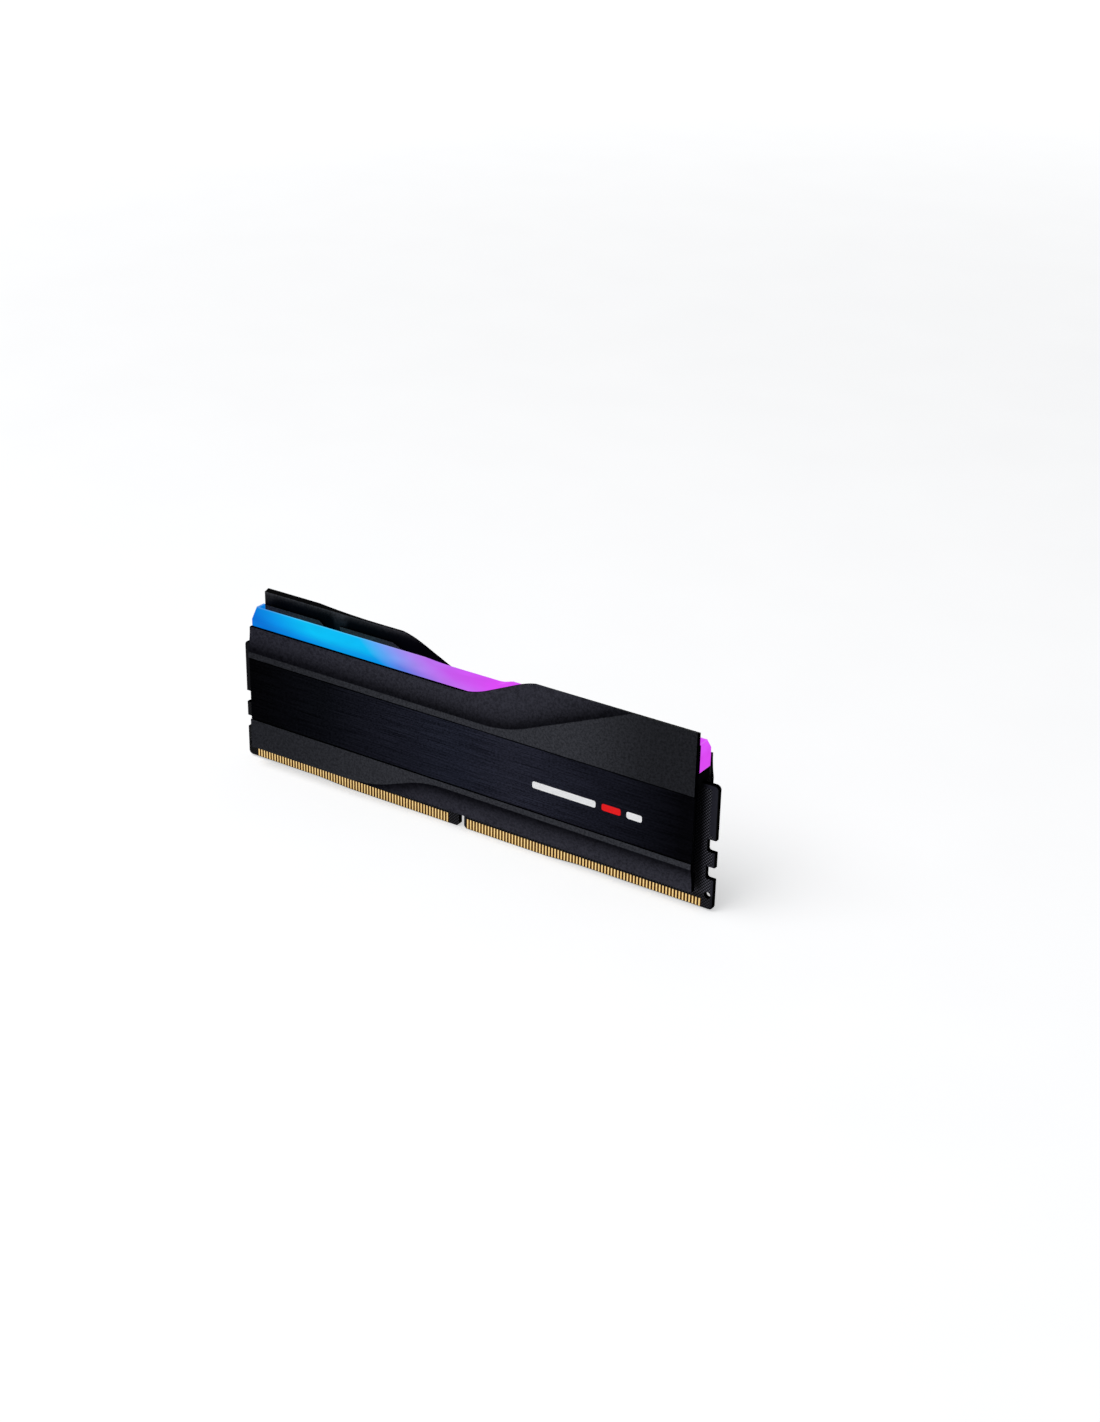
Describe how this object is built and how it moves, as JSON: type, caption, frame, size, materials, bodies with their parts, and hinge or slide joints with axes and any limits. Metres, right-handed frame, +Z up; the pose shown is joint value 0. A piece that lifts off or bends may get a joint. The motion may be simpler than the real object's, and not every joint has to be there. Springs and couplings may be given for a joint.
{
  "type": "memory module",
  "caption": "Desktop computer memory module: a circuit board with an edge connector between two swept black heat spreaders, with a glowing light bar along the top.",
  "frame": {"origin": "middle of the board's lowest edge, halfway through its thickness, which is the middle of the bottom of the bounding box", "axes": "+X along the module, to the right seen from the front; -Y is the front face; +Z up, away from the socket"},
  "size_m": [0.1334, 0.0084, 0.0444],
  "materials": {
    "board": "black solder mask on glass-fibre laminate, copper mesh showing through at the ends",
    "contacts": "gold plated copper, smooth",
    "chip_package": "moulded epoxy, fine grain",
    "resistor": "ceramic with a black glaze and tinned ends",
    "ceramic_capacitor": "fired ceramic with tinned ends",
    "inductor": "pressed iron powder",
    "led": "clear resin in a white package",
    "thermal_pad": "soft silicone",
    "spreader": "sandblasted and anodised black",
    "brushed_strip": "brushed lengthwise and anodised blue-black",
    "adhesive": "thin acrylic film",
    "carrier": "moulded, matt black",
    "diffuser": "milky translucent, lit from below"
  },
  "bodies": {
    "root": {"brushed_strip_front": "brushed_strip", "brushed_strip_rear": "brushed_strip", "bulk_capacitors": "ceramic_capacitor", "circuit_board": "board", "decoupling_capacitors_front": "ceramic_capacitor", "decoupling_capacitors_rear": "ceramic_capacitor", "edge_contacts_front": "contacts", "edge_contacts_rear": "contacts", "heat_spreader_front": "spreader", "heat_spreader_rear": "spreader", "hub_chip": "chip_package", "led_1": "led", "led_10": "led", "led_2": "led", "led_3": "led", "led_4": "led", "led_5": "led", "led_6": "led", "led_7": "led", "led_8": "led", "led_9": "led", "light_bar": "diffuser", "light_bar_carrier": "carrier", "light_driver_chip": "chip_package", "memory_chip_front_1": "chip_package", "memory_chip_front_2": "chip_package", "memory_chip_front_3": "chip_package", "memory_chip_front_4": "chip_package", "memory_chip_front_5": "chip_package", "memory_chip_front_6": "chip_package", "memory_chip_front_7": "chip_package", "memory_chip_front_8": "chip_package", "memory_chip_rear_1": "chip_package", "memory_chip_rear_2": "chip_package", "memory_chip_rear_3": "chip_package", "memory_chip_rear_4": "chip_package", "memory_chip_rear_5": "chip_package", "memory_chip_rear_6": "chip_package", "memory_chip_rear_7": "chip_package", "memory_chip_rear_8": "chip_package", "power_inductor_1": "inductor", "power_inductor_2": "inductor", "power_inductor_3": "inductor", "power_management_chip": "chip_package", "strip_adhesive_front": "adhesive", "strip_adhesive_rear": "adhesive", "termination_resistors_front": "resistor", "termination_resistors_rear": "resistor", "thermal_pad_front": "thermal_pad", "thermal_pad_power": "thermal_pad", "thermal_pad_rear_left": "thermal_pad", "thermal_pad_rear_right": "thermal_pad"}
  },
  "joints": []
}
